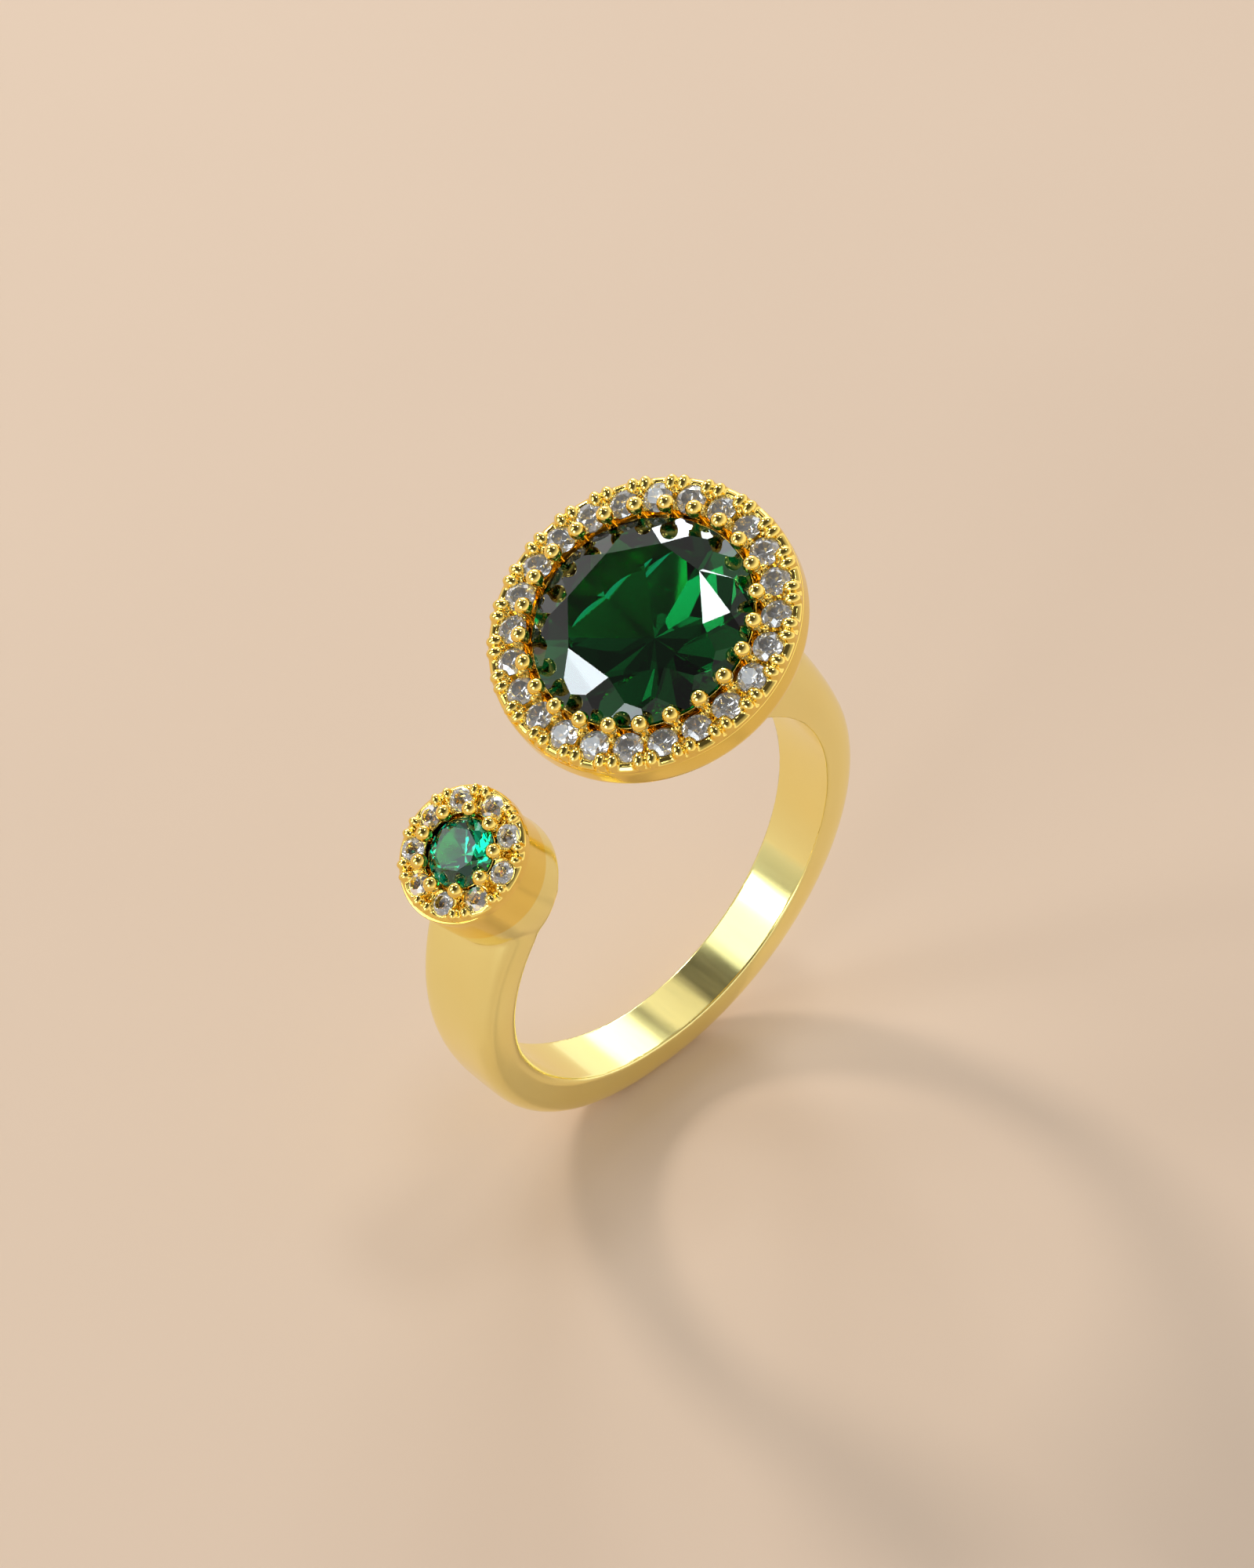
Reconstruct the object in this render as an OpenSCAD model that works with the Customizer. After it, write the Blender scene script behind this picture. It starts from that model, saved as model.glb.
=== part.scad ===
// Open cocktail ring: an open shank with a large round halo head on one end
// and a small round halo head on the other. Millimetres.
// The origin is the centre of the finger opening. Y is the finger's axis,
// Z points up through the large head, and the ring is symmetric about y = 0.

/* [Finger opening] */
// Inside diameter of the finger opening
finger_d = 17; // [16.8:0.1:17.2]

/* [Shank] */
// Radial thickness of the shank at the bottom
shank_t = 1.9; // [1.7:0.1:2.1]
// Width of the shank at the bottom, its narrowest place
shank_w_bottom = 2.3; // [2:0.1:2.6]
// Width of the shank where it meets the large head
shank_w_arm = 3.8; // [3.2:0.1:4.2]
// Width of the shank just below the small head
shank_w_leg = 4.6; // [4.2:0.1:4.8]
// Extra thickness that the shoulder gains on its way to the large head
shoulder_rise = 1.64; // [1.4:0.02:1.8]

/* [Large head] */
// Angle around the finger, from +X, at which the large head sits
large_polar = 91.6; // [90:0.1:93]
// Height of the large halo's face above the finger opening
large_lift = 5.57; // [5.4:0.01:5.8]
// Lean of the large head from +Z towards -X
large_lean = 26.3; // [25:0.1:27.5]
// Outer radius of the large head
large_r = 6.25; // [6.2:0.01:6.3]
// Number of stones in the large halo
large_halo_n = 24; // [24:1:24]
// Radius of the circle that the large halo's stones sit on
large_halo_r = 5.28; // [5.26:0.01:5.3]
// Diameter of one stone in the large halo
large_halo_d = 1.2; // [1.1:0.05:1.2]
// Radius of the circle of ball prongs around the large centre stone
large_prong_r = 4.68; // [4.66:0.01:4.7]
// Diameter of the large centre stone
large_stone_d = 8.84; // [8.7:0.02:8.84]

/* [Small head] */
// Angle around the finger, from +X, at which the small head sits
small_polar = 140; // [139:0.1:141]
// Height of the small halo's face above the finger opening
small_lift = 4.24; // [4.1:0.01:4.4]
// Lean of the small head from +Z towards -X
small_lean = 37.3; // [36:0.1:38.5]
// Outer radius of the small head
small_r = 2.7; // [2.68:0.01:2.74]
// Height of the small cup, from its rim to its foot
small_cup_h = 2.5; // [2.3:0.05:2.7]
// Number of stones in the small halo
small_halo_n = 9; // [9:1:9]
// Radius of the circle that the small halo's stones sit on
small_halo_r = 2.05; // [2.03:0.01:2.07]
// Diameter of one stone in the small halo
small_halo_d = 0.95; // [0.9:0.01:0.95]
// Radius of the circle of ball prongs around the small centre stone
small_prong_r = 1.61; // [1.6:0.01:1.63]
// Diameter of the small centre stone
small_stone_d = 2.76; // [2.7:0.02:2.8]

/* [Hidden] */
gold = "goldenrod";
green = "darkgreen";
clear = "whitesmoke";
finger_r = finger_d / 2;
clearance = 0.02;

// Shank: angles are measured from the bottom, positive towards the large head
arm_end = 159;
leg_end = 129;
ring_step = 6;
arm_at = 135;
arm_flare = 2.5;
leg_at = 115;
leg_flare = 1.2;
leg_thinning = 0.1;
shoulder_start = 110;
shoulder_span = 40;
shoulder_curve = 2.5;
bottom_square = 3;
leg_square = 5.5;
leg_square_at = 80;
sunk = 0.6;
profile_n = 16;

// Both halo plates
face_drop = 0.1;
flange_t = 0.22;
plate_t = 0.75;
rim_step = 0.02;
rim_bevel = 0.08;
seat_hole = 0.6;
seat_bevel_h = 0.2;
bead_sink = 0.1;
drill_h = 1;

// Both prong crowns
ledge_drop = 0.3;
crown_ring_h = 0.28;
crown_gap = 0.04;
crown_seat_w = 0.4;
wall_t = 0.5;

// Stones, as fractions of their diameter where they are the halo's
girdle_t = 0.04;
halo_sink = 0.12;
halo_table = 0.3;
halo_crown = 0.17;
halo_pavilion = 0.42;

// Large head, heights measured along its axis from the halo stones' face
large_body_r = 5.8;
large_plate_in = 4.5;
large_ball_r = 0.33;
large_ball_z = 0.5;
large_stem_r = 0.19;
large_rim_bead_r = 0.23;
large_rim_bead_at = 5.95;
large_rim_bead_split = 2.25;
large_wall_z = -1;
large_turn = 0.75;
large_foot_r = 2.9;
large_foot_z = -4.2;
large_throat_r = 4.45;
large_throat_z = -1.85;
large_crown_out = 4.95;
large_girdle_z = -0.34;
large_table_r = 2.87;
large_crown_h = 1.14;
large_pavilion_h = 3.75;

// Small head
small_body_r = 2.45;
small_plate_in = 1.42;
small_ball_r = 0.29;
small_ball_z = 0.19;
small_stem_r = 0.14;
small_rim_bead_r = 0.17;
small_rim_bead_at = 2.45;
small_rim_bead_split = 5.5;
small_collar_z = -0.95;
small_wall_r = 2.6;
small_wall_shift = 0.2;
small_heel_h = 2.4;
small_heel_in = 0.5;
small_well_r = 1.2;
small_well_z = -1.55;
small_well_tip_z = -1.9;
small_crown_out = 1.82;
small_girdle_z = -0.17;
small_table_r = 0.88;
small_crown_h = 0.45;
small_pavilion_h = 1.15;

function two(i) = str(i < 10 ? "0" : "", i);

// ---- placing ----

// Moves a head's own frame (origin in the stones' face, Z out) onto the ring
module place_head(polar, lift, lean) {
    at = finger_r + lift;
    translate([at * cos(polar), 0, at * sin(polar)])
        rotate([0, -lean, 0])
            children();
}

module place_large() {
    place_head(large_polar, large_lift, large_lean) children();
}

// The small head is turned half a pitch, so that a stone lies on its low side
module place_small() {
    place_head(small_polar, small_lift, small_lean)
        rotate([0, 0, 180])
            children();
}

// Puts n copies on a circle, the first at the angle turn
module around(n, r, turn = 0) {
    for (i = [0:n - 1])
        rotate([0, 0, turn + i * 360 / n])
            translate([r, 0, 0])
                children();
}

// ---- shank ----

// Half the shank's width at angle a
function half_width(a) =
    let (
        flare = a > 0
            ? (shank_w_arm - shank_w_bottom) * pow(a / arm_at, arm_flare)
            : (shank_w_leg - shank_w_bottom) * pow(-a / leg_at, leg_flare)
    )
    min(shank_w_leg, shank_w_bottom + flare) / 2;

// Radial thickness at angle a: even, with a shoulder rising to the large head
function thickness(a) =
    a > shoulder_start
    ? shank_t + shoulder_rise * pow((a - shoulder_start) / shoulder_span, shoulder_curve)
    : shank_t + leg_thinning * min(0, a / leg_at);

// Squareness of the outside: a soft D at the bottom, a crowned box on the leg
function squareness(a) =
    bottom_square + (a > 0 ? 0 : (leg_square - bottom_square) * min(1, -a / leg_square_at));

function signed_pow(v, e) = sign(v) * pow(abs(v), e);

// One cross-section at angle a: the D-shaped outside, then the sunken inside
function shank_ring(a) =
    let (w = half_width(a), t = thickness(a), e = 2 / squareness(a))
    [for (k = [0:profile_n])
        let (
            v = 180 * k / profile_n,
            y = w * signed_pow(cos(v), e),
            rho = finger_r + t * signed_pow(sin(v), e) - (k == 0 || k == profile_n ? sunk : 0)
        )
        [rho * sin(a), y, -rho * cos(a)]];

module sweep(rings) {
    n = len(rings[0]);
    m = len(rings);
    polyhedron(
        points = [for (r = rings) each r],
        faces = concat(
            [[for (k = [0:n - 1]) n - 1 - k]],
            [[for (k = [0:n - 1]) (m - 1) * n + k]],
            [for (i = [0:m - 2], k = [0:n - 1])
                let (a = i * n + k, b = i * n + (k + 1) % n) [a, b, a + n]],
            [for (i = [0:m - 2], k = [0:n - 1])
                let (a = i * n + k, b = i * n + (k + 1) % n) [b, b + n, a + n]]
        )
    );
}

// The solid that the finger takes up
module finger() {
    rotate([90, 0, 0])
        cylinder(r = finger_r, h = 40, center = true, $fn = 128);
}

module shank() {
    color(gold)
        difference() {
            union() {
                sweep([for (a = [-leg_end:ring_step:arm_end]) shank_ring(a)]);
                small_heel();
            }
            finger();
            place_large() large_cup_envelope();
            place_small_wall()
                translate([0, 0, -small_cup_h])
                    cylinder(r = small_wall_r + 1, h = small_cup_h + 1, $fn = 96);
        }
}

// The shank's rounded end, which carries the small cup's wall on down
module small_heel() {
    place_small_wall()
        translate([0, 0, -small_cup_h])
            rotate_extrude($fn = 96)
                polygon([
                    [0, 0],
                    [small_wall_r - clearance, 0],
                    for (v = [0:30:90])
                        [small_wall_r - clearance - small_heel_in * (1 - cos(v)),
                            -small_heel_h * (1 + sin(v)) / 2],
                    [0, -small_heel_h]
                ]);
}

// ---- cups ----

// Profile of the large cup's outside, from its rim to its foot
function large_cup_outside() = concat(
    [[large_r, -face_drop - flange_t]],
    [for (v = [0:22.5:90]) [large_r - large_turn * (1 - cos(v)), large_wall_z - large_turn * sin(v)]],
    [[large_foot_r, large_foot_z]]
);

// The solid inside the large cup's outer skin, which the shank is fitted to
module large_cup_envelope() {
    rotate_extrude($fn = 128)
        polygon(concat([[0, -face_drop - flange_t]], large_cup_outside(), [[0, large_foot_z]]));
}

// Height of the ledge that carries a prong crown
function ledge_z() = -face_drop - plate_t - ledge_drop;

module large_cup() {
    color(gold)
        place_large()
            rotate_extrude($fn = 128)
                polygon(concat(
                    [[large_body_r + clearance, -face_drop - flange_t]],
                    large_cup_outside(),
                    [
                        [large_foot_r - wall_t, large_foot_z],
                        [large_foot_r - wall_t, large_foot_z + wall_t],
                        [large_throat_r, large_throat_z],
                        [large_throat_r, ledge_z()],
                        [large_crown_out + crown_gap, ledge_z()],
                        [large_crown_out + crown_gap, -face_drop - plate_t],
                        [large_body_r + clearance, -face_drop - plate_t]
                    ]
                ));
}

// The small cup's wall is round about an axis set a little to its low side
module place_small_wall() {
    place_small()
        translate([small_wall_shift, 0, 0])
            children();
}

module small_cup() {
    color(gold)
        difference() {
            union() {
                place_small()
                    translate([0, 0, small_collar_z])
                        cylinder(r = small_r, h = -small_collar_z - face_drop - flange_t, $fn = 96);
                place_small_wall()
                    translate([0, 0, -small_cup_h])
                        cylinder(r = small_wall_r, h = small_cup_h - face_drop - flange_t, $fn = 96);
            }
            place_small()
                rotate_extrude($fn = 96)
                    polygon([
                        [0, small_well_tip_z],
                        [small_well_r, small_well_z],
                        [small_well_r, ledge_z()],
                        [small_crown_out + crown_gap, ledge_z()],
                        [small_crown_out + crown_gap, -face_drop - plate_t],
                        [small_body_r + clearance, -face_drop - plate_t],
                        [small_body_r + clearance, 1],
                        [0, 1]
                    ]);
        }
}

// ---- halo plates ----

// A flat ring with a drilled and bevelled seat under each halo stone, a slot
// for each prong, and two beads raised on the rim in each gap between stones
module halo_plate(r, body_r, r_in, n, halo_r, stone_d, prong_r, stem_r, bead_r, bead_at, split) {
    turn = 180 / n;
    seat_z = -halo_sink * stone_d - girdle_t;
    bevel_h = seat_bevel_h * stone_d;
    hole_r = seat_hole * stone_d / 2;
    difference() {
        rotate_extrude($fn = 128)
            polygon([
                [r_in, -face_drop],
                [r_in, -face_drop - plate_t],
                [body_r, -face_drop - plate_t],
                [body_r, -face_drop - flange_t],
                [r - rim_step, -face_drop - flange_t],
                [r - rim_step, -face_drop - rim_bevel],
                [r - rim_step - rim_bevel, -face_drop]
            ]);
        around(n, halo_r, turn) {
            translate([0, 0, -drill_h])
                cylinder(r = hole_r, h = 2 * drill_h, $fn = 24);
            translate([0, 0, seat_z - bevel_h])
                cylinder(r1 = hole_r, r2 = stone_d / 2 + clearance, h = bevel_h, $fn = 24);
            translate([0, 0, seat_z])
                cylinder(r = stone_d / 2 + clearance, h = drill_h, $fn = 24);
        }
        around(n, prong_r)
            translate([0, 0, -drill_h])
                cylinder(r = stem_r + clearance, h = 2 * drill_h, $fn = 24);
    }
    for (side = [-1, 1])
        around(n, bead_at, side * split)
            translate([0, 0, bead_sink - face_drop])
                sphere(r = bead_r, $fn = 24);
}

module large_halo_plate() {
    color(gold)
        place_large()
            halo_plate(large_r, large_body_r, large_plate_in, large_halo_n, large_halo_r,
                large_halo_d, large_prong_r, large_stem_r, large_rim_bead_r,
                large_rim_bead_at, large_rim_bead_split);
}

module small_halo_plate() {
    color(gold)
        place_small()
            halo_plate(small_r, small_body_r, small_plate_in, small_halo_n, small_halo_r,
                small_halo_d, small_prong_r, small_stem_r, small_rim_bead_r,
                small_rim_bead_at, small_rim_bead_split);
}

// ---- prong crowns ----

// A ring with a bevelled seat for the centre stone, and a circle of ball prongs
module prong_crown(n, prong_r, stem_r, ball_r, ball_z, ring_out, stone_r, girdle_z) {
    seat_top = girdle_z - girdle_t - crown_gap;
    seat_in = stone_r - crown_seat_w;
    rotate_extrude($fn = 128)
        polygon([
            [seat_in, ledge_z()],
            [ring_out, ledge_z()],
            [ring_out, ledge_z() + crown_ring_h],
            [stone_r + crown_gap, ledge_z() + crown_ring_h],
            [stone_r + crown_gap, seat_top],
            [stone_r, seat_top],
            [seat_in, seat_top - crown_seat_w]
        ]);
    around(n, prong_r) {
        translate([0, 0, ledge_z() + clearance])
            cylinder(r = stem_r, h = ball_z - ledge_z() - clearance, $fn = 24);
        translate([0, 0, ball_z])
            sphere(r = ball_r, $fn = 32);
    }
}

module large_prong_crown() {
    color(gold)
        place_large()
            prong_crown(large_halo_n, large_prong_r, large_stem_r, large_ball_r,
                large_ball_z, large_crown_out, large_stone_d / 2, large_girdle_z);
}

module small_prong_crown() {
    color(gold)
        place_small()
            prong_crown(small_halo_n, small_prong_r, small_stem_r, small_ball_r,
                small_ball_z, small_crown_out, small_stone_d / 2, small_girdle_z);
}

// ---- stones ----

// A round brilliant with its girdle's top at z = 0: an octagonal table, eight
// stars, eight kites and sixteen upper facets over a sixteen-sided girdle, and
// eight mains and sixteen lower facets below it
function on_circle(r, a, z) = [r * cos(a), r * sin(a), z];

module brilliant(d, table_r, crown_h, pavilion_h) {
    r = d / 2;
    star_r = (table_r * cos(22.5) + r) / 2;
    star_z = crown_h * (r - star_r * cos(22.5)) / (r - table_r);
    low_r = 0.25 * r;
    low_z = -girdle_t - pavilion_h * (1 - low_r * cos(22.5) / r);
    points = concat(
        [for (k = [0:7]) on_circle(table_r, 45 * k, crown_h)],
        [for (k = [0:7]) on_circle(star_r, 45 * k + 22.5, star_z)],
        [for (k = [0:15]) on_circle(r, 22.5 * k, 0)],
        [for (k = [0:15]) on_circle(r, 22.5 * k, -girdle_t)],
        [for (k = [0:7]) on_circle(low_r, 45 * k + 22.5, low_z)],
        [[0, 0, -girdle_t - pavilion_h]]
    );
    table = 0;
    star = 8;
    top = 16;
    bottom = 32;
    low = 48;
    culet = 56;
    polyhedron(
        points = points,
        faces = concat(
            [[for (k = [7:-1:0]) table + k]],
            [for (k = [0:7]) [table + k, table + (k + 1) % 8, star + k]],
            [for (k = [0:7]) [table + k, star + k, top + 2 * k]],
            [for (k = [0:7]) [table + k, top + 2 * k, star + (k + 7) % 8]],
            [for (k = [0:7]) [star + k, top + 2 * k + 1, top + 2 * k]],
            [for (k = [0:7]) [star + k, top + (2 * k + 2) % 16, top + 2 * k + 1]],
            [for (k = [0:15]) [top + k, top + (k + 1) % 16, bottom + (k + 1) % 16, bottom + k]],
            [for (k = [0:7]) [low + k, bottom + 2 * k, bottom + 2 * k + 1]],
            [for (k = [0:7]) [low + k, bottom + 2 * k + 1, bottom + (2 * k + 2) % 16]],
            [for (k = [0:7]) [culet, bottom + 2 * k, low + k]],
            [for (k = [0:7]) [culet, low + (k + 7) % 8, bottom + 2 * k]]
        )
    );
}

module large_center_stone() {
    color(green)
        place_large()
            translate([0, 0, large_girdle_z])
                rotate([0, 0, 22.5])
                    brilliant(large_stone_d, large_table_r, large_crown_h, large_pavilion_h);
}

module small_center_stone() {
    color(green)
        place_small()
            translate([0, 0, small_girdle_z])
                brilliant(small_stone_d, small_table_r, small_crown_h, small_pavilion_h);
}

module halo_stone(halo_r, d, angle) {
    rotate([0, 0, angle])
        translate([halo_r, 0, -halo_sink * d])
            brilliant(d, halo_table * d, halo_crown * d, halo_pavilion * d);
}

module large_halo_stone(i) {
    color(clear)
        place_large()
            halo_stone(large_halo_r, large_halo_d, (i - 0.5) * 360 / large_halo_n);
}

module small_halo_stone(i) {
    color(clear)
        place_small()
            halo_stone(small_halo_r, small_halo_d, (i - 0.5) * 360 / small_halo_n);
}

shank();
large_cup();
large_halo_plate();
large_prong_crown();
large_center_stone();
for (i = [1:large_halo_n])
    large_halo_stone(i);
small_cup();
small_halo_plate();
small_prong_crown();
small_center_stone();
for (i = [1:small_halo_n])
    small_halo_stone(i);
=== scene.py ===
import math
import random

import bmesh
import bpy
import numpy as np
from mathutils import Matrix, Vector


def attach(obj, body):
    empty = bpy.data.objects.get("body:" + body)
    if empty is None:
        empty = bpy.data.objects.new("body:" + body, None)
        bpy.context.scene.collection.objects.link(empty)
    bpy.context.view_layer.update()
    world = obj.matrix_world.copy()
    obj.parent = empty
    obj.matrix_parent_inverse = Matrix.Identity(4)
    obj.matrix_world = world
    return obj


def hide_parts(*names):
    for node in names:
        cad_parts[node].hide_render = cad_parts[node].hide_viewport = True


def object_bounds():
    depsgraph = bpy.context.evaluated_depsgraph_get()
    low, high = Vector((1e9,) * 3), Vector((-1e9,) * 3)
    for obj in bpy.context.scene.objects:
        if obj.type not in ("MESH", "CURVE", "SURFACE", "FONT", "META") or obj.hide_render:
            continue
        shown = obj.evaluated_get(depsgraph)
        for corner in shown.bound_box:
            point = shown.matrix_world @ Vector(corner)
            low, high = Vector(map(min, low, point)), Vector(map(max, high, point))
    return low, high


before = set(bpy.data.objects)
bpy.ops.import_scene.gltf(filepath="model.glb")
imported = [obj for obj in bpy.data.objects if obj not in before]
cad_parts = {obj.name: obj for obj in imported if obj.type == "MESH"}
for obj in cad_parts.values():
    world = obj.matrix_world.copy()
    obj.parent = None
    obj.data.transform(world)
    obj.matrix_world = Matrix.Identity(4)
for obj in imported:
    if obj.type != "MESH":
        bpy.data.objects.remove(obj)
cad_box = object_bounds()

# Lengths here are millimetres in the part's own frame, and become metres when a mesh is made.
MM = 0.001
LARGE_N = 24
SMALL_N = 9
LARGE_HALO_R = 5.28
SMALL_HALO_R = 2.05
LARGE_PRONG_R = 4.68
SMALL_PRONG_R = 1.61


# ---- where the two heads are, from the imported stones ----

def node_points(name):
    """A node's corners, in millimetres."""
    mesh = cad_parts[name].data
    points = np.empty(len(mesh.vertices) * 3)
    mesh.vertices.foreach_get("co", points)
    return points.reshape(-1, 3) / MM


def head_frame(size, count, table_z):
    """A head's own frame: Z out of the face, zero at the halo stones' face, X towards a prong."""
    halo = [node_points(f"{size}_halo_stone_{i:02d}").mean(0) for i in range(1, count + 1)]
    centre = np.mean(halo, 0)
    z = np.cross(halo[0] - centre, halo[count // 4] - centre)
    z /= np.linalg.norm(z)
    stone = node_points(f"{size}_center_stone")
    origin = centre + z * (((stone - centre) @ z).max() - table_z)
    x = halo[0] - centre
    x -= z * (x @ z)
    x /= np.linalg.norm(x)
    y = np.cross(z, x)
    back = -math.pi / count
    x, y = x * math.cos(back) + y * math.sin(back), y * math.cos(back) - x * math.sin(back)
    return np.array([x, y, z]), origin


LARGE_TABLE_Z = 0.80
SMALL_TABLE_Z = 0.28
LARGE = head_frame("large", LARGE_N, LARGE_TABLE_Z)
SMALL = head_frame("small", SMALL_N, SMALL_TABLE_Z)


def to_head(points, head):
    axes, origin = head
    return (points - origin) @ axes.T


def from_head(points, head):
    axes, origin = head
    return points @ axes + origin


# ---- fields: negative inside the metal, about one per millimetre ----

def smooth_min(a, b, k):
    h = np.clip(0.5 + 0.5 * (b - a) / k, 0, 1)
    return b + (a - b) * h - k * h * (1 - h)


def smooth_max(a, b, k):
    return -smooth_min(-a, -b, k)


def round_max(a, b, r):
    """The overlap of two solids, with the edge between them rounded to radius r."""
    return np.minimum(-r, np.maximum(a, b)) + np.hypot(np.maximum(a + r, 0), np.maximum(b + r, 0))


def box2(x, y, low, high, r):
    """A rounded rectangle in the plane of x and y."""
    dx = np.abs(x - (low[0] + high[0]) / 2) - (high[0] - low[0]) / 2 + r
    dy = np.abs(y - (low[1] + high[1]) / 2) - (high[1] - low[1]) / 2 + r
    return np.hypot(np.maximum(dx, 0), np.maximum(dy, 0)) + np.minimum(np.maximum(dx, dy), 0) - r


def fold(x, y, count, turn=0.0):
    """Turns every point into the first of count equal sectors, centred on X."""
    step = 2 * math.pi / count
    angle = (np.arctan2(y, x) - turn + step / 2) % step - step / 2
    r = np.hypot(x, y)
    return r * np.cos(angle), r * np.sin(angle)


# ---- the shank ----

FINGER_R = 8.5
ARM_END = 183
LEG_END = -131
CUP_SHIFT = 0.2
CUP_WALL_R = 2.6
CUP_FOOT_Z = -2.35


def half_width(a):
    arm = np.minimum(2.28, 1.15 + 0.75 * (np.maximum(a, 0) / 135) ** 2.5)
    leg = np.minimum(2.3, 1.15 + 1.15 * (np.maximum(-a, 0) / 115) ** 1.2)
    return np.where(a > 0, arm, leg)


def thickness(a):
    arm = 1.9 + 1.64 * (np.maximum(a - 110, 0) / 40) ** 2.5
    return np.minimum(arm, 4.6) + 0.1 * np.clip(a / 115, -1, 0)


def band_field(p):
    """The swept band: a soft D at the bottom, squarer on the leg, with a rounded finger edge."""
    x, y, z = p[..., 0], np.abs(p[..., 1]), p[..., 2]
    rho = np.hypot(x, z)
    a = np.degrees(np.arctan2(x, -z))
    a = np.where(a < -155, a + 360, a)
    w, t = half_width(a), thickness(a)
    power = 3 + 2.5 * np.clip(-a / 80, 0, 1)
    u, v = y / w, np.maximum(rho - FINGER_R, 1e-6) / t
    s = (u ** power + v ** power + 1e-9) ** (1 / power)
    slope = np.hypot((u / s) ** (power - 1) / w, (v / s) ** (power - 1) / t)
    outside = (s - 1) / np.maximum(slope, 0.15)
    corner = 0.1 + 0.55 * np.clip((-a - 25) / 45, 0, 1)
    body = round_max(outside, FINGER_R - rho, corner)
    beyond = np.maximum(a - ARM_END, LEG_END - a)
    ends = rho * np.sin(np.radians(np.clip(beyond, -90, 90)))
    return round_max(body, ends, 0.3)


def heel_field(p):
    """The rounded end under the small cup, which carries the cup's wall on down."""
    q = to_head(p, SMALL)
    r = np.hypot(q[..., 0] - CUP_SHIFT, q[..., 1])
    h = q[..., 2]
    s = np.clip((-2.9 - h) / 2.4, 0, 1)
    side = r - (CUP_WALL_R - 0.01 - 0.5 * s * s)
    bore = FINGER_R - np.hypot(p[..., 0], p[..., 2])
    body = round_max(round_max(side, bore, 0.7), -5.3 - h, 0.3)
    return np.maximum(body, h - CUP_FOOT_Z - 0.15)


def shank_field(p):
    """The band and the heel, fitted to the large cup. The heel runs up a little inside the small cup."""
    q = to_head(p, SMALL)
    cup = np.maximum(np.hypot(q[..., 0] - CUP_SHIFT, q[..., 1]) - 3.8, CUP_FOOT_Z - q[..., 2])
    body = smooth_min(np.maximum(band_field(p), -cup), heel_field(p), 0.12)
    q = to_head(p, LARGE)
    r, h = np.hypot(q[..., 0], q[..., 1]), q[..., 2]
    cone = (r - 2.9) * 0.69 - (h + 4.2) * 0.73
    head = np.maximum(np.maximum(cone, r - 5.5), -4.2 - h)
    return np.maximum(body, -head)


# ---- halo plates and prong crowns ----

def plate_field(q, count, halo_r, stone_r, r_in, r_out, prong_r, saddle_r, bead_r, bead_at, bead_z, split):
    """A halo plate in its head's frame, with a seat for each stone and two beads by each prong."""
    x, y, h = q[..., 0], q[..., 1], q[..., 2]
    r = np.hypot(x, y)
    body = box2(r, h, (r_in, -0.62), (r_out, -0.12), 0.07)
    # the rim falls away outside the beads
    body = smooth_max(body, (r - r_out + 0.14) * 0.6 + (h + 0.14) * 0.8, 0.05)
    sx, sy = fold(x, y, count, math.pi / count)
    d = np.hypot(sx - halo_r, sy)
    # the seat: a straight wall above the girdle, a cone below it and a drilled hole
    seat = np.maximum(d - stone_r - 0.02, -0.16 - h)
    cone = (d - 0.62 * stone_r) * 0.75 - (h + 0.16 + 0.38 * stone_r) * 0.66
    seat = np.minimum(seat, np.maximum(cone, -0.16 - 0.38 * stone_r - h))
    seat = np.minimum(seat, d - 0.6 * stone_r)
    body = smooth_max(body, -seat, 0.05)
    gx, gy = fold(x, y, count)
    # the metal is cut down between the stones, inside the beads
    trough = np.hypot((gx - halo_r) * 0.55, gy) - 0.12
    body = smooth_max(body, -np.maximum(trough, -0.34 - h), 0.05)
    # two beads pushed up over the stones' outer edges, longer along the radius
    angle = np.radians(split)
    bx, by = gx - bead_at * math.cos(angle), np.abs(gy) - bead_at * math.sin(angle)
    bead = np.sqrt((bx * 0.72) ** 2 + by ** 2 + (h - bead_z) ** 2) - bead_r
    body = smooth_min(body, bead, 0.12)
    # a small mound of metal behind each prong
    saddle = np.sqrt((gx - prong_r - 0.3) ** 2 + (gy * 1.25) ** 2 + (h + 0.06) ** 2) - saddle_r
    return smooth_min(body, saddle, 0.1)


def crown_field(q, count, prong_r, ball_r, ball_z, stem_r, stone_r, ring_out, girdle_z):
    """A ring of ball prongs on a bevelled seat for the centre stone."""
    x, y, h = q[..., 0], q[..., 1], q[..., 2]
    r = np.hypot(x, y)
    gx, gy = fold(x, y, count)
    ball = np.sqrt((gx - prong_r) ** 2 + gy ** 2 + (h - ball_z) ** 2) - ball_r
    lean = 0.06 * (ball_z - h)
    stem = np.hypot(gx - prong_r - lean, gy) - stem_r * (1 + 0.25 * (ball_z - h))
    stem = np.maximum(stem, np.maximum(h - ball_z, -1.1 - h))
    prongs = smooth_min(ball, stem, 0.06)
    ring = box2(r, h, (stone_r - 0.4, -1.15), (ring_out, -0.8), 0.05)
    seat = (r - stone_r) - (h - girdle_z + 0.06)
    sleeve = box2(r, h, (stone_r - 0.4, -1.15), (stone_r + 0.05, girdle_z - 0.08), 0.02)
    collar = round_max(sleeve, -seat * 0.7, 0.02)
    return smooth_min(smooth_min(ring, collar, 0.04), prongs, 0.05)


# ---- meshing a field ----

CORNERS = np.array([(i, j, k) for i in (0, 1) for j in (0, 1) for k in (0, 1)])


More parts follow.
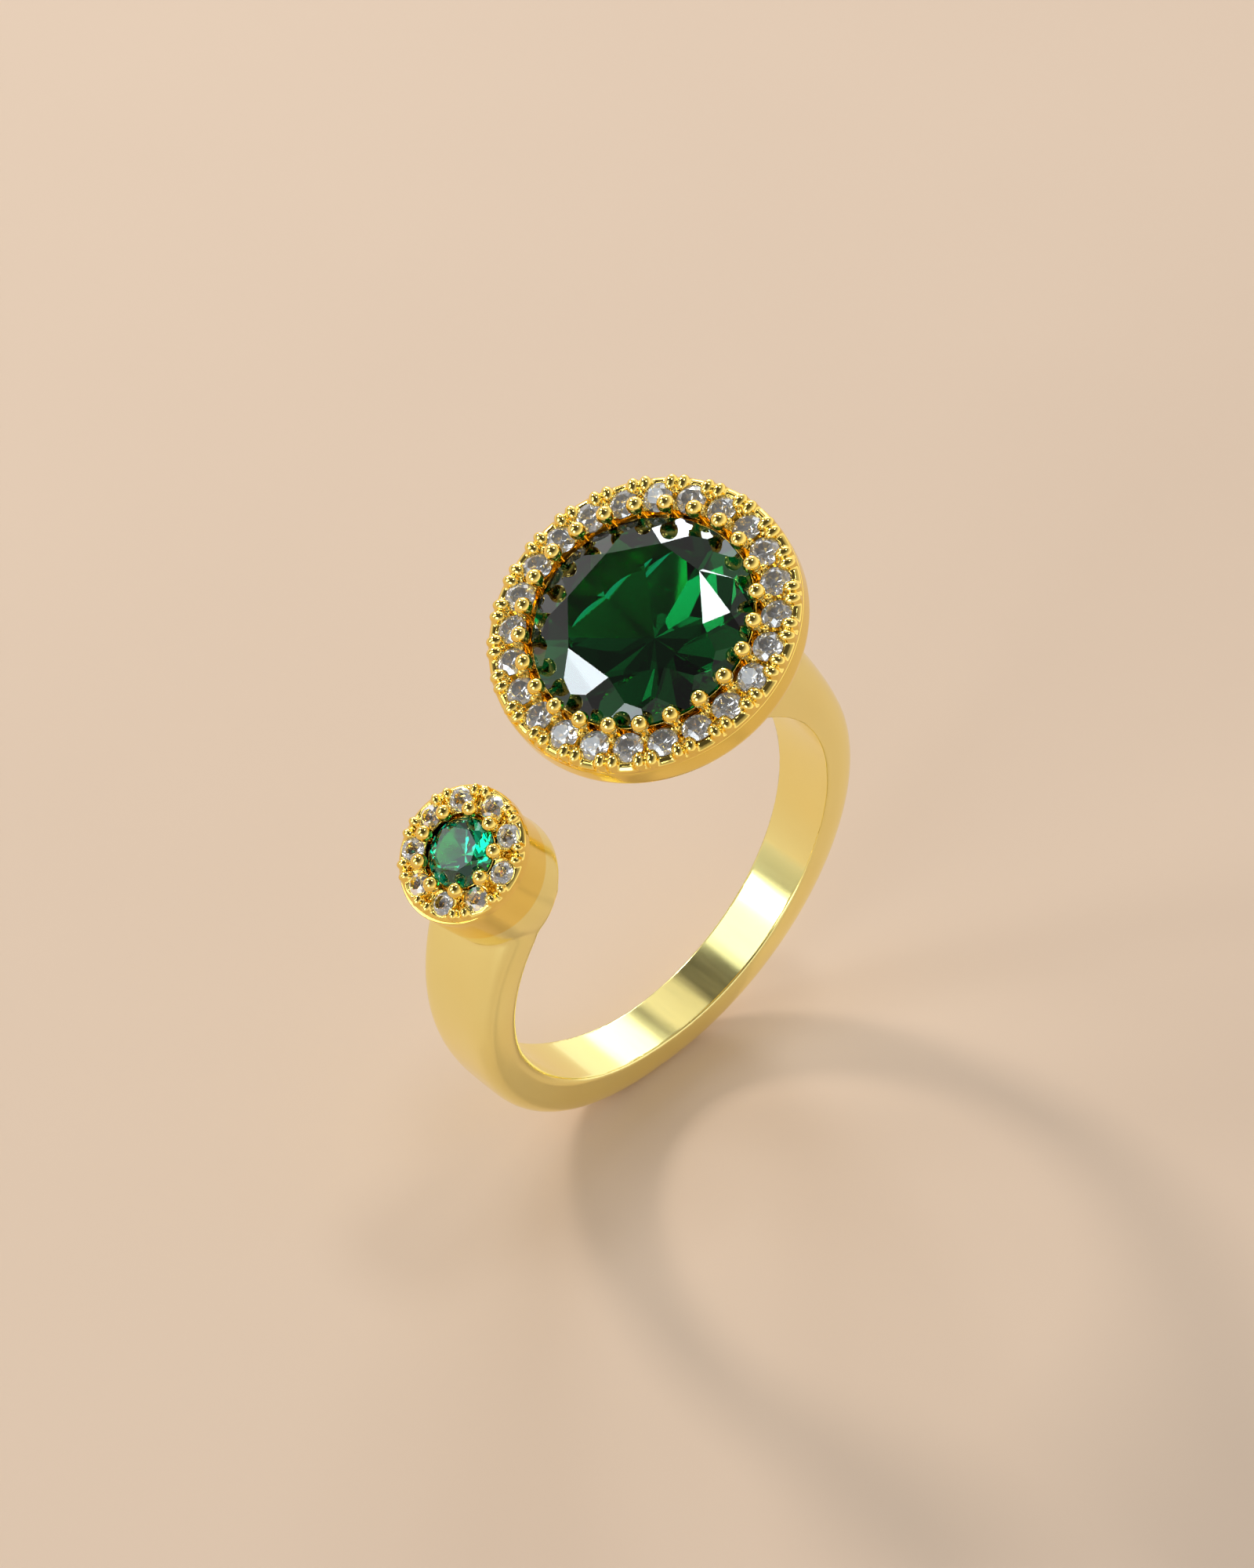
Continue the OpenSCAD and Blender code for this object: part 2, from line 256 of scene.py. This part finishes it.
def surface_nets(field, low, high, step):
    """Quads around the zero of a field, one corner in each grid cell that the surface crosses."""
    axes = [np.arange(a, b + step, step) for a, b in zip(low, high)]
    values = field(np.stack(np.meshgrid(*axes, indexing="ij"), -1))
    inside = values < 0
    n = [len(a) - 1 for a in axes]
    at = [tuple(slice(c[d], c[d] + n[d]) for d in range(3)) for c in CORNERS]
    count = sum(inside[s].astype(np.int8) for s in at)
    active = (count > 0) & (count < 8)
    number = np.full(active.shape, -1)
    number[active] = np.arange(active.sum())
    f = np.stack([values[s][active] for s in at], -1)
    total = np.zeros((len(f), 3))
    hits = np.zeros(len(f))
    for a in range(8):
        for b in range(a + 1, 8):
            if abs(CORNERS[a] - CORNERS[b]).sum() != 1:
                continue
            crossed = (f[:, a] < 0) != (f[:, b] < 0)
            t = f[crossed, a] / (f[crossed, a] - f[crossed, b])
            total[crossed] += CORNERS[a] + t[:, None] * (CORNERS[b] - CORNERS[a])
            hits[crossed] += 1
    points = np.array(low) + (np.argwhere(active) + total / hits[:, None]) * step
    faces = []
    for d in range(3):
        u, v = (d + 1) % 3, (d + 2) % 3
        near = [slice(None)] * 3
        far = [slice(None)] * 3
        near[d], far[d] = slice(0, -1), slice(1, None)
        a, b = inside[tuple(near)], inside[tuple(far)]
        edges = np.argwhere(a != b)
        edges = edges[(edges[:, u] > 0) & (edges[:, u] < n[u]) & (edges[:, v] > 0) & (edges[:, v] < n[v])]
        quad = []
        for du, dv in ((1, 1), (0, 1), (0, 0), (1, 0)):
            cell = edges.copy()
            cell[:, u] -= du
            cell[:, v] -= dv
            quad.append(number[tuple(cell.T)])
        quad = np.stack(quad, -1)
        outward = a[tuple(edges.T)]
        faces.append(np.where(outward[:, None], quad, quad[:, ::-1]))
    return points, np.concatenate(faces)


def gradient(field, p, eps=0.004):
    """The field's slope at each point, by central differences."""
    out = np.empty_like(p)
    for d in range(3):
        step = np.zeros(3)
        step[d] = eps
        out[:, d] = (field(p + step) - field(p - step)) / (2 * eps)
    return out


def field_mesh(name, field, low, high, step, head=None):
    """Meshes a field, moves its corners onto the surface and takes their normals from the field."""
    points, faces = surface_nets(field, low, high, step)
    for _ in range(5):
        g = gradient(field, points)
        move = field(points)[:, None] * g / np.maximum((g * g).sum(1, keepdims=True), 0.05)
        length = np.linalg.norm(move, axis=1, keepdims=True)
        points -= move * np.minimum(1, 0.5 * step / np.maximum(length, 1e-9))
    normals = gradient(field, points, 0.02)
    normals /= np.maximum(np.linalg.norm(normals, axis=1, keepdims=True), 1e-9)
    if head is not None:
        points = from_head(points, head)
        normals = normals @ head[0]
    mesh = bpy.data.meshes.new(name)
    mesh.from_pydata((points * MM).tolist(), [], faces.tolist())
    mesh.update()
    mesh.shade_smooth()
    mesh.normals_split_custom_set_from_vertices(normals.tolist())
    return add(name, mesh)


def add(name, mesh):
    piece = bpy.data.objects.new(name, mesh)
    bpy.context.scene.collection.objects.link(piece)
    return piece


# ---- lathe-turned cups ----

def lathe(name, profile, head, count=192, shift=0.0, sharp=32):
    """Turns a closed profile of (radius, height) about a head's axis."""
    bm = bmesh.new()
    rings = []
    for i in range(count):
        angle = 2 * math.pi * i / count
        ring = [(r * math.cos(angle) + shift, r * math.sin(angle), h) for r, h in profile]
        rings.append([bm.verts.new(Vector(p) * MM) for p in from_head(np.array(ring), head)])
    for i in range(count):
        a, b = rings[i], rings[(i + 1) % count]
        for k in range(len(profile)):
            m = (k + 1) % len(profile)
            bm.faces.new((a[k], b[k], b[m], a[m]))
    bmesh.ops.remove_doubles(bm, verts=bm.verts, dist=1e-8)
    bmesh.ops.recalc_face_normals(bm, faces=bm.faces)
    return finish_bmesh(name, bm, sharp)


def finish_bmesh(name, bm, sharp=None):
    for face in bm.faces:
        face.smooth = sharp is not None
    if sharp is not None:
        for edge in bm.edges:
            edge.smooth = edge.calc_face_angle(0) < math.radians(sharp)
    mesh = bpy.data.meshes.new(name)
    bm.to_mesh(mesh)
    bm.free()
    return add(name, mesh)


def arc(cx, cz, rx, rz, start, end, count):
    """Points on an elliptical arc, in a profile's plane."""
    angles = [math.radians(start + (end - start) * k / count) for k in range(count + 1)]
    return [(cx + rx * math.cos(t), cz + rz * math.sin(t)) for t in angles]


# ---- cut stones ----

TABLE_SIDES = 8

def brilliant(name, radius, table_r, crown_h, pavilion_h, girdle_t, place):
    """A round brilliant cut from a fine prism by its facet planes, girdle top at z = 0."""
    bm = bmesh.new()
    bmesh.ops.create_cone(bm, cap_ends=True, cap_tris=False, segments=96, radius1=radius, radius2=radius,
                          depth=2 * (crown_h + pavilion_h + girdle_t))

    def cut(angle, rise, inward, z):
        """A plane through the point inward from the axis at height z, leaning by rise."""
        lean = math.sin(rise)
        normal = Vector((math.cos(angle) * lean, math.sin(angle) * lean, math.cos(rise)))
        point = Vector((math.cos(angle) * inward, math.sin(angle) * inward, z))
        geom = list(bm.verts) + list(bm.edges) + list(bm.faces)
        bmesh.ops.bisect_plane(bm, geom=geom, dist=1e-7, plane_co=point, plane_no=normal, clear_outer=True)
        bmesh.ops.holes_fill(bm, edges=[e for e in bm.edges if e.is_boundary], sides=0)

    step = 2 * math.pi / TABLE_SIDES
    flat = table_r * math.cos(step / 2)
    kite = math.atan2(crown_h, radius - table_r)
    half = step / 2
    for k in range(TABLE_SIDES):
        # kites point at the table's corners, stars lie along its sides
        cut(k * step, kite, radius, 0)
        star = 0.76 * kite
        cut(k * step + half, star, flat, crown_h)
        for side in (-1, 1):
            cut(k * step + half + side * half / 2, kite + math.radians(5.5), radius * 0.985, 0)
    cut(0, 0, 0, crown_h)
    main = math.atan2(pavilion_h, radius)
    for k in range(TABLE_SIDES):
        cut(k * step, math.pi - main, radius, -girdle_t)
        for side in (-1, 1):
            lower = math.pi - main - math.radians(2.2)
            cut(k * step + half + side * half / 2, lower, radius * 0.992, -girdle_t)
    bmesh.ops.remove_doubles(bm, verts=bm.verts, dist=1e-5)
    bmesh.ops.dissolve_limit(bm, angle_limit=math.radians(0.2), verts=bm.verts, edges=bm.edges)
    bmesh.ops.recalc_face_normals(bm, faces=bm.faces)
    points = np.array([v.co[:] for v in bm.verts])
    for vert, point in zip(bm.verts, place(points)):
        vert.co = Vector(point) * MM
    bmesh.ops.recalc_face_normals(bm, faces=bm.faces)
    return finish_bmesh(name, bm)


def placed(head, radius, angle, z, spin, tip=(0.0, 0.0)):
    """Where a stone's own points go: spun, tipped a little, then set on a head's circle."""
    tipped = Matrix.Rotation(tip[0], 3, "X") @ Matrix.Rotation(tip[1], 3, "Y")
    turn = np.array(tipped @ Matrix.Rotation(spin, 3, "Z"))
    at = np.array([radius * math.cos(angle), radius * math.sin(angle), z])
    return lambda points: from_head(points @ turn.T + at, head)


# ---- materials ----

def new_material(name):
    material = bpy.data.materials.new(name)
    material.use_nodes = True
    tree = material.node_tree
    return material, tree, tree.nodes["Principled BSDF"]


def noise(tree, scale, detail=2.0, stretch=None):
    node = tree.nodes.new("ShaderNodeTexNoise")
    node.inputs["Scale"].default_value = scale
    node.inputs["Detail"].default_value = detail
    where = tree.nodes.new("ShaderNodeTexCoord").outputs["Object"]
    if stretch is not None:
        mapping = tree.nodes.new("ShaderNodeMapping")
        mapping.inputs["Scale"].default_value = stretch
        tree.links.new(where, mapping.inputs["Vector"])
        where = mapping.outputs["Vector"]
    tree.links.new(where, node.inputs["Vector"])
    return node.outputs["Fac"]


def ramp(tree, value, low, high, at=(0.3, 0.7)):
    node = tree.nodes.new("ShaderNodeMapRange")
    node.inputs["From Min"].default_value, node.inputs["From Max"].default_value = at
    node.inputs["To Min"].default_value, node.inputs["To Max"].default_value = low, high
    tree.links.new(value, node.inputs["Value"])
    return node.outputs["Result"]


def colour_mix(tree, value, low, high):
    node = tree.nodes.new("ShaderNodeMix")
    node.data_type = "RGBA"
    node.inputs["A"].default_value = (*low, 1)
    node.inputs["B"].default_value = (*high, 1)
    tree.links.new(value, node.inputs["Factor"])
    return node.outputs["Result"]


def bump(tree, height, distance, strength):
    node = tree.nodes.new("ShaderNodeBump")
    node.inputs["Distance"].default_value = distance
    node.inputs["Strength"].default_value = strength
    tree.links.new(height, node.inputs["Height"])
    return node.outputs["Normal"]


def gold(name, deep, bright, rough, ripple, metal):
    """Polished plating: faint colour drift, hairline polishing marks and a slight orange-peel ripple."""
    material, tree, shader = new_material(name)
    shader.inputs["Metallic"].default_value = metal
    drift = noise(tree, 220, 2)
    tree.links.new(colour_mix(tree, drift, deep, bright), shader.inputs["Base Color"])
    marks = noise(tree, 2600, 3, stretch=(1.0, 0.12, 1.0))
    tree.links.new(ramp(tree, marks, rough[0], rough[1]), shader.inputs["Roughness"])
    soft = noise(tree, 450, 1)
    tree.links.new(bump(tree, soft, 0.00004, ripple), shader.inputs["Normal"])
    return material


def crystal(name, tint, ior, density, absorb, clear, shine):
    """Cut stone: clear body colour by absorption, with faint polish marks."""
    material, tree, shader = new_material(name)
    shader.inputs["Transmission Weight"].default_value = clear
    shader.inputs["IOR"].default_value = ior
    shader.inputs["Specular IOR Level"].default_value = shine
    polish = noise(tree, 3500, 2)
    tree.links.new(ramp(tree, polish, 0.0, 0.02), shader.inputs["Roughness"])
    tree.links.new(colour_mix(tree, noise(tree, 500, 1), tint, tuple(min(1, c * 1.06) for c in tint)),
                   shader.inputs["Base Color"])
    if density > 0:
        volume = tree.nodes.new("ShaderNodeVolumeAbsorption")
        volume.inputs["Color"].default_value = (*absorb, 1)
        volume.inputs["Density"].default_value = density
        output = tree.nodes["Material Output"]
        tree.links.new(volume.outputs["Volume"], output.inputs["Volume"])
    return material


# The three golds are the plating's own tone with painted light and shade in them: the band's gold is paler
# and brighter as painted light, and the cups' and heads' gold is deeper and more orange as painted shade.
band_gold = gold("band_gold", (0.985, 0.83, 0.30), (1.0, 0.92, 0.41), (0.13, 0.2), 0.15, 0.95)
cup_gold = gold("cup_gold", (0.96, 0.69, 0.14), (0.99, 0.78, 0.21), (0.09, 0.15), 0.15, 0.98)
head_gold = gold("head_gold", (0.95, 0.65, 0.13), (0.99, 0.76, 0.22), (0.04, 0.09), 0.25, 1.0)
emerald = crystal("emerald", (0.01, 0.94, 0.72), 1.75, 1150, (0.0, 0.79, 0.66), 1.0, 0.28)
white_stone = crystal("white_stone", (1.0, 0.99, 1.0), 2.3, 0, (1, 1, 1), 0.86, 1.0)


def paint(piece, material):
    piece.data.materials.clear()
    piece.data.materials.append(material)
    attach(piece, "root")


# ---- the pieces ----

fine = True

shank = field_mesh("shank_body", shank_field, (-11.2, -3.0, -11.2), (11.2, 3.0, 14.0), 0.1 if fine else 0.2)
paint(shank, band_gold)
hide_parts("shank")

large_cup = lathe("large_cup_body", [(5.82, -0.34), (6.17, -0.34)]
                  + arc(6.17, -0.42, 0.08, 0.08, 90, 0, 6)
                  + [(6.25, -0.7)]
                  + arc(5.5, -1.0, 0.75, 0.75, 0, -90, 16)
                  + arc(5.3, -1.95, 0.2, 0.2, 90, 45, 3)
                  + [(2.9, -4.2), (2.4, -4.2), (2.4, -3.7), (4.45, -1.85), (4.45, -1.15), (5.0, -1.15),
                     (5.0, -0.85), (5.82, -0.85)], LARGE)
paint(large_cup, cup_gold)
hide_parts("large_cup")

small_cup = lathe("small_cup_body", [(2.4, -0.34), (2.56, -0.34)]
                  + arc(2.56, -0.38, 0.04, 0.04, 90, 0, 4)
                  + [(CUP_WALL_R, -0.7), (CUP_WALL_R, CUP_FOOT_Z), (0.0, CUP_FOOT_Z), (0.0, -1.9),
                     (1.2, -1.55), (1.2, -1.15), (1.88, -1.15), (1.88, -0.85), (2.4, -0.85)],
                  SMALL, 128, CUP_SHIFT)
paint(small_cup, cup_gold)
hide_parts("small_cup")

large_plate = field_mesh(
    "large_halo_plate_body",
    lambda q: plate_field(q, LARGE_N, LARGE_HALO_R, 0.6, 4.78, 6.23, LARGE_PRONG_R,
                          0.19, 0.26, 5.88, -0.08, 2.45),
    (-6.5, -6.5, -0.75), (6.5, 6.5, 0.35), 0.06 if fine else 0.12, LARGE)
paint(large_plate, head_gold)
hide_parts("large_halo_plate")

small_plate = field_mesh(
    "small_halo_plate_body",
    lambda q: plate_field(q, SMALL_N, SMALL_HALO_R, 0.475, 1.55, 2.69, SMALL_PRONG_R,
                          0.05, 0.19, 2.42, -0.1, 6.0),
    (-2.9, -2.9, -0.75), (2.9, 2.9, 0.3), 0.045 if fine else 0.09, SMALL)
paint(small_plate, head_gold)
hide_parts("small_halo_plate")

large_crown = field_mesh(
    "large_prong_crown_body",
    lambda q: crown_field(q, LARGE_N, LARGE_PRONG_R, 0.35, 0.5, 0.17, 4.42, 4.95, -0.1),
    (-5.4, -5.4, -1.25), (5.4, 5.4, 0.95), 0.06 if fine else 0.12, LARGE)
paint(large_crown, head_gold)
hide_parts("large_prong_crown")

small_crown = field_mesh(
    "small_prong_crown_body",
    lambda q: crown_field(q, SMALL_N, SMALL_PRONG_R, 0.325, 0.19, 0.13, 1.38, 1.82, -0.17),
    (-2.1, -2.1, -1.25), (2.1, 2.1, 0.6), 0.045 if fine else 0.09, SMALL)
paint(small_crown, head_gold)
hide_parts("small_prong_crown")

stone = brilliant("large_center_gem", 4.4, 2.87, 0.86, 3.74, 0.05,
                  placed(LARGE, 0, 0, -0.06, math.radians(22.5)))
paint(stone, emerald)
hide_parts("large_center_stone")

stone = brilliant("small_center_gem", 1.37, 0.88, 0.45, 1.1, 0.03, placed(SMALL, 0, 0, -0.17, 0))
paint(stone, emerald)
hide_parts("small_center_stone")

HALOS = (
    ("large", LARGE, LARGE_N, LARGE_HALO_R, 0.6),
    ("small", SMALL, SMALL_N, SMALL_HALO_R, 0.47),
)
TIP = 0.15  # most that a halo stone leans, in radians
draw = random.Random(7)
for size, head, count, halo_r, radius in HALOS:
    for i in range(1, count + 1):
        spin = draw.uniform(0, math.pi / 4)
        tip = (draw.uniform(-TIP, TIP), draw.uniform(-TIP, TIP))
        angle = (i - 0.5) * 2 * math.pi / count
        stone = brilliant(f"{size}_halo_gem_{i:02d}", radius, 0.56 * radius, 0.34 * radius,
                          0.84 * radius, 0.03, placed(head, halo_r, angle, -0.13, spin, tip))
        paint(stone, white_stone)
        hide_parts(f"{size}_halo_stone_{i:02d}")


# ---- floor, light and camera ----

floor_z = cad_box[0][2]
bm = bmesh.new()
bmesh.ops.create_grid(bm, x_segments=2, y_segments=2, size=0.6)
for vert in bm.verts:
    vert.co.z = floor_z
floor = finish_bmesh("floor", bm)
material, tree, shader = new_material("floor_paper")
paper = colour_mix(tree, noise(tree, 40, 3), (0.675, 0.505, 0.37), (0.705, 0.53, 0.39))
tree.links.new(paper, shader.inputs["Base Color"])
shader.inputs["Roughness"].default_value = 0.7
floor.data.materials.append(material)


def softbox(name, direction, distance, size, power, colour):
    """An area light in the given direction from the ring, in millimetres, facing it."""
    data = bpy.data.lights.new(name, "AREA")
    data.shape = "RECTANGLE"
    data.size, data.size_y = size[0] * MM, size[1] * MM
    data.energy = power
    data.color = colour
    lamp = bpy.data.objects.new(name, data)
    at = Vector(direction).normalized() * distance
    lamp.location = at * MM
    lamp.rotation_euler = (-at).to_track_quat("-Z", "Y").to_euler()
    bpy.context.scene.collection.objects.link(lamp)


COOL = (0.86, 0.94, 1.0)
# the key stands behind the ring, and casts its shadow towards the camera's right
softbox("key", (0.0, 15.1, 10.4), 800, (125, 125), 2.3, (1.0, 0.94, 0.87))
# soft panels that the inside of the shank mirrors as pale bands, with a dimmer one between
softbox("right_panel", (0.66, 0.52, 0.54), 700, (200, 300), 0.40, COOL)
softbox("left_panel", (-0.58, 0.53, 0.62), 700, (330, 340), 0.70, COOL)
softbox("back_panel", (0.20, 0.55, 0.81), 700, (240, 260), 0.16, (1.0, 0.95, 0.88))
# one to the left, for the halo stones and the prongs
softbox("side_panel", (-0.90, -0.12, 0.38), 700, (300, 300), 1.2, COOL)
# three small bright ones that the centre stone's crown facets mirror
softbox("low_strip", (0.54, 0.74, 0.40), 700, (220, 130), 1.0, COOL)
softbox("side_strip", (-0.75, 0.54, 0.37), 700, (110, 120), 0.45, COOL)
softbox("top_strip", (0.23, 0.05, 0.97), 700, (110, 110), 0.60, COOL)

# the room: pale low down, darker overhead
world = bpy.data.worlds.new("studio")
bpy.context.scene.world = world
world.use_nodes = True
background = world.node_tree.nodes["Background"]
background.inputs["Color"].default_value = (0.97, 0.95, 0.93, 1)
tree = world.node_tree
toward = tree.nodes.new("ShaderNodeVectorMath")
toward.operation = "DOT_PRODUCT"
toward.inputs[1].default_value = (-0.33, 0.18, 0.92)
direction = tree.nodes.new("ShaderNodeTexCoord").outputs["Generated"]
tree.links.new(direction, toward.inputs[0])
strength = ramp(tree, toward.outputs["Value"], 1.15, 0.08, (0.1, 0.82))
tree.links.new(strength, background.inputs["Strength"])
bpy.context.scene.view_settings.view_transform = "Standard"

camera_data = bpy.data.cameras.new("camera")
camera_data.sensor_fit = "AUTO"
camera_data.sensor_width = 36
camera_data.lens = 127.13
camera_data.clip_start = 0.01
camera_data.clip_end = 5
camera = bpy.data.objects.new("camera", camera_data)
bpy.context.scene.collection.objects.link(camera)
right = Vector((0.7314, -0.6819, 0.0)).normalized()
forward = Vector((0.4872, 0.5225, -0.6998)).normalized()
up = right.cross(forward).normalized()
turn = Matrix((right, up, -forward)).transposed().to_4x4()
camera.matrix_world = Matrix.Translation(Vector((-104.91, -111.29, 155.0)) * MM) @ turn
bpy.context.scene.camera = camera
